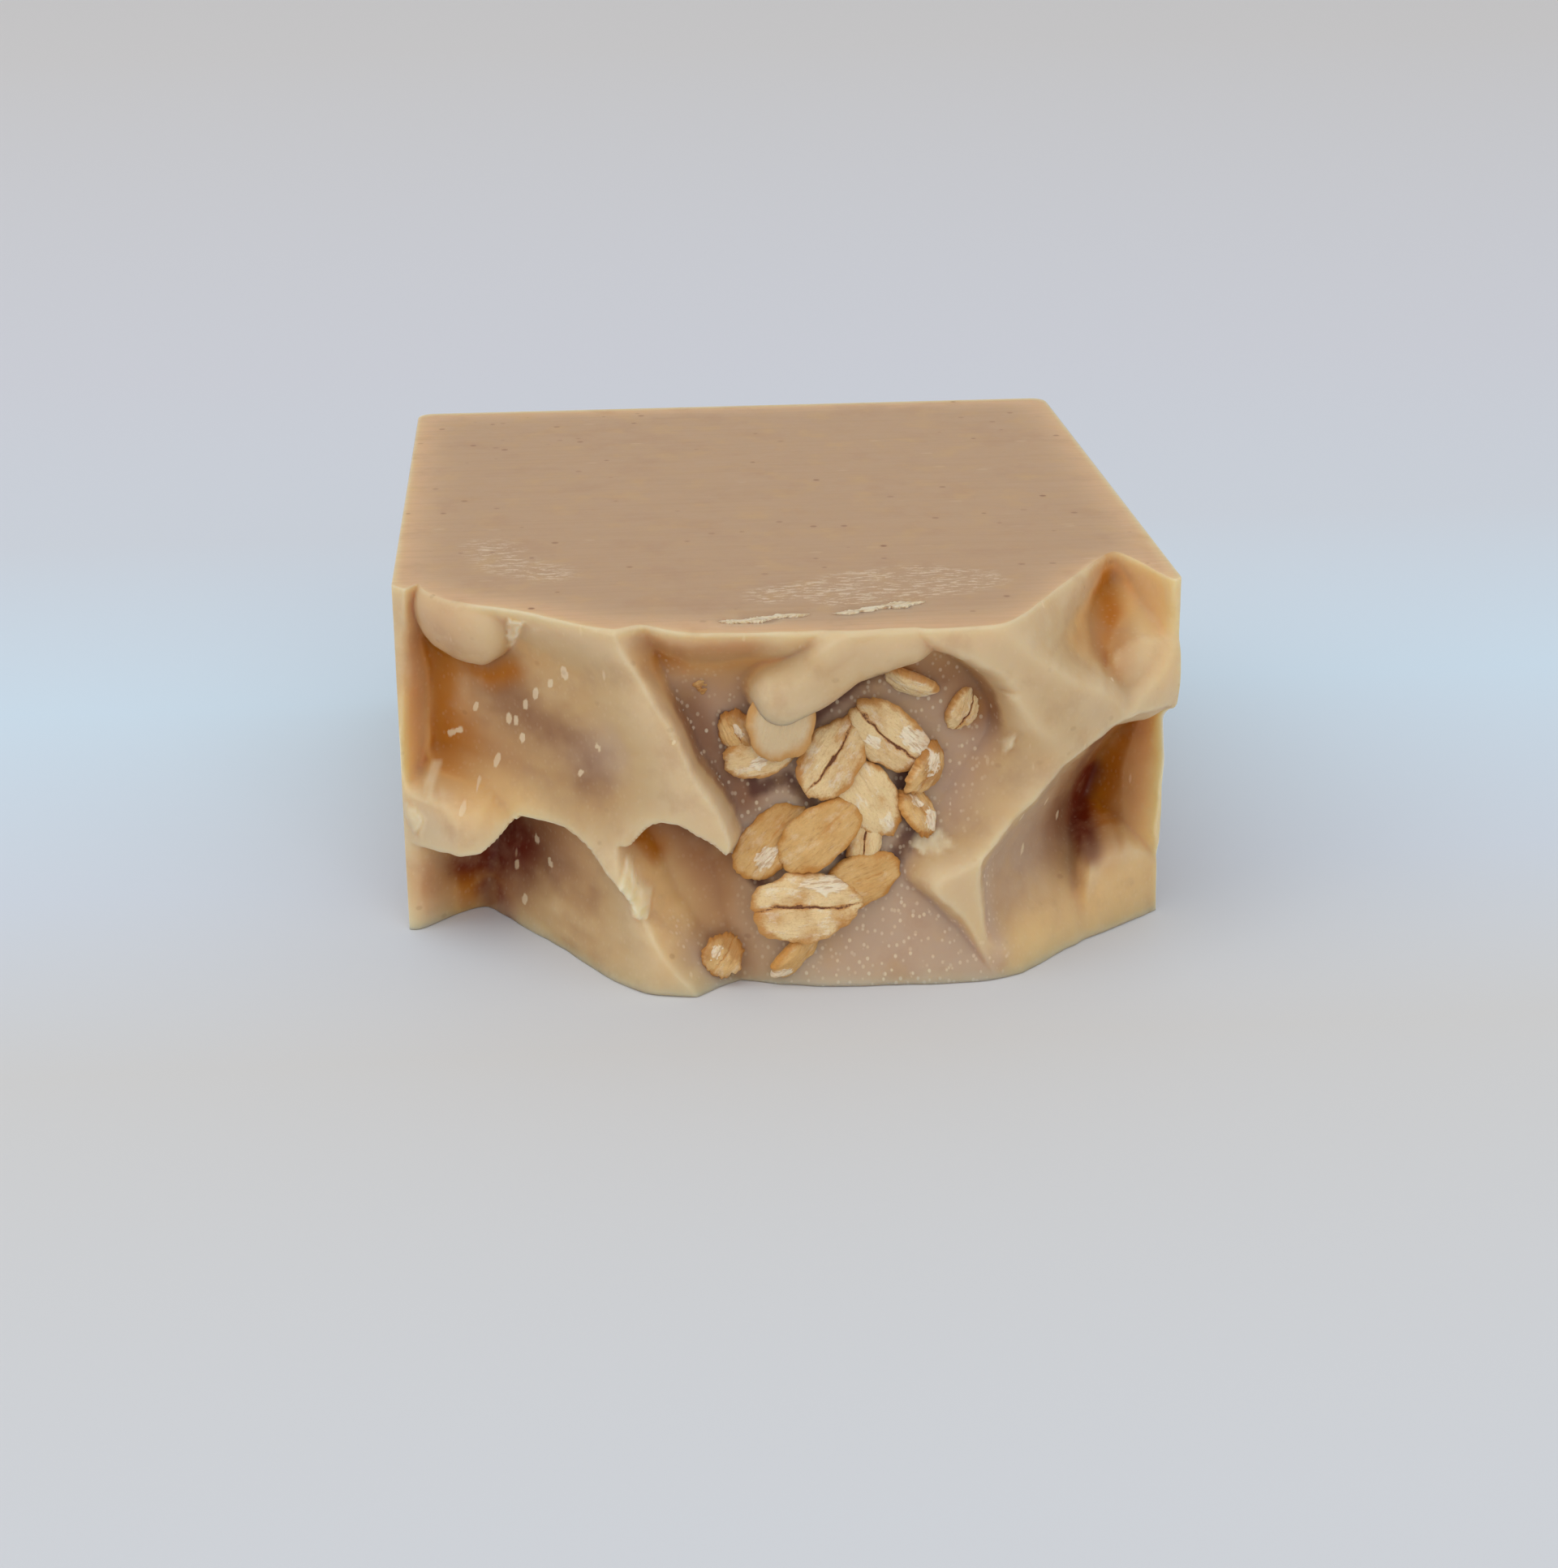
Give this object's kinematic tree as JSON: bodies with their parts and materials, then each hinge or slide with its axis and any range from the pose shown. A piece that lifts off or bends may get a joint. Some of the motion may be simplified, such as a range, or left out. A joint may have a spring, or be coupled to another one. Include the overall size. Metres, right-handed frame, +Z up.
{
  "type": "bar of soap",
  "caption": "Rectangular slice of handmade soap with flat cut faces and a spoon-sculpted front edge set with rolled oat flakes; used for washing.",
  "frame": {"origin": "centre of the moulded block's resting cut face, half way between its flat back and the side rims of its sculpted front", "axes": "+X towards the bar's right seen from the sculpted front, +Y towards the flat back, +Z up from the resting cut face to the other cut face"},
  "size_m": [0.0684, 0.0794, 0.0315],
  "materials": {
    "soap": "satin",
    "oats": "matt"
  },
  "bodies": {
    "root": {"soap_bar": "soap", "oat_upper_right": "oats", "oat_upper_middle": "oats", "oat_centre": "oats", "oat_golden": "oats", "oat_left_of_golden": "oats", "oat_small_upright": "oats", "oat_under_broad": "oats", "oat_broad": "oats", "oat_round_end": "oats", "oat_on_edge": "oats", "oat_in_bank": "oats", "oat_under_lip": "oats", "oat_under_tongue": "oats", "oat_chip_left": "oats", "oat_below_tongue": "oats", "oat_husk_right": "oats", "oat_chip_right": "oats", "oat_speck_left": "oats", "oat_sliver_left": "oats", "oat_sliver_right": "oats"}
  },
  "joints": []
}
